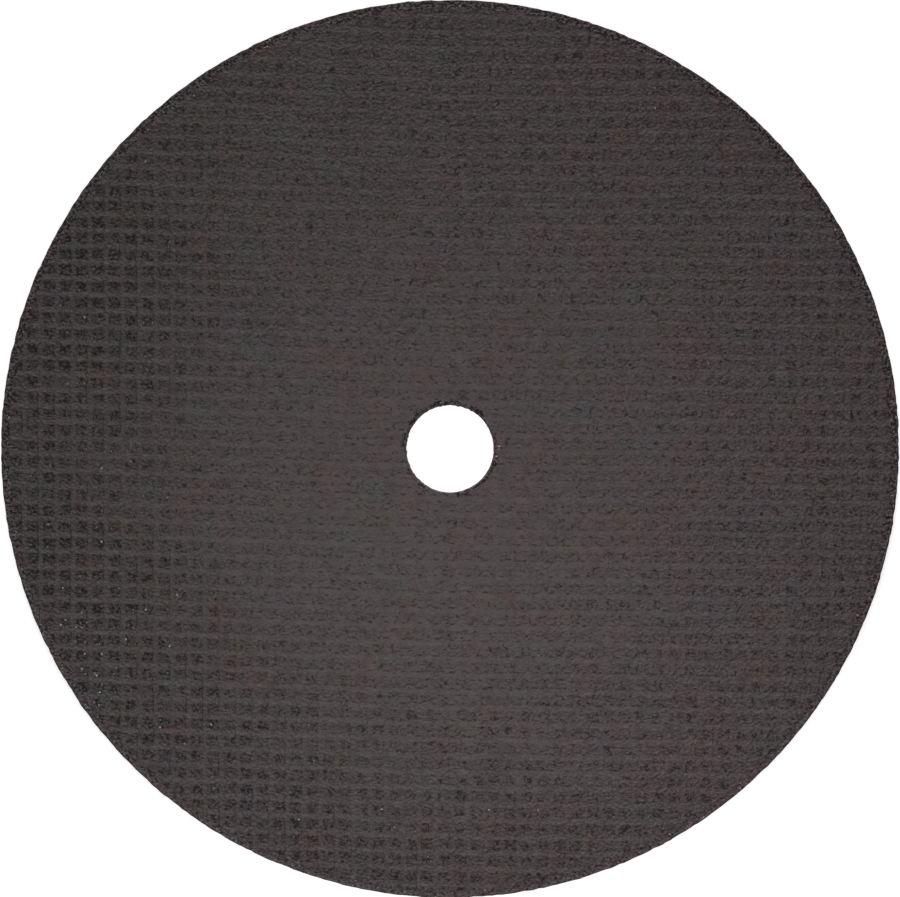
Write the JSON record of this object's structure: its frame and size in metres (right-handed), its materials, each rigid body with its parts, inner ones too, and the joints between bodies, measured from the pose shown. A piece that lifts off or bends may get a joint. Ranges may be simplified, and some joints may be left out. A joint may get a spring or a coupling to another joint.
{
  "type": "cut off wheel",
  "caption": "Flat resin-bonded abrasive cut-off wheel with a plain round arbor bore, woven yarn ridges on both faces and a bare gritty rim.",
  "frame": {"origin": "bore axis at the lower face, on the crowns of the lower yarns", "axes": "+Z along the bore axis, up out of the upper face; +X close to the weft yarns"},
  "size_m": [0.2286, 0.2286, 0.0032],
  "materials": {
    "bonded_abrasive": "matte"
  },
  "bodies": {
    "root": {"cut_off_wheel": "bonded_abrasive"}
  },
  "joints": []
}
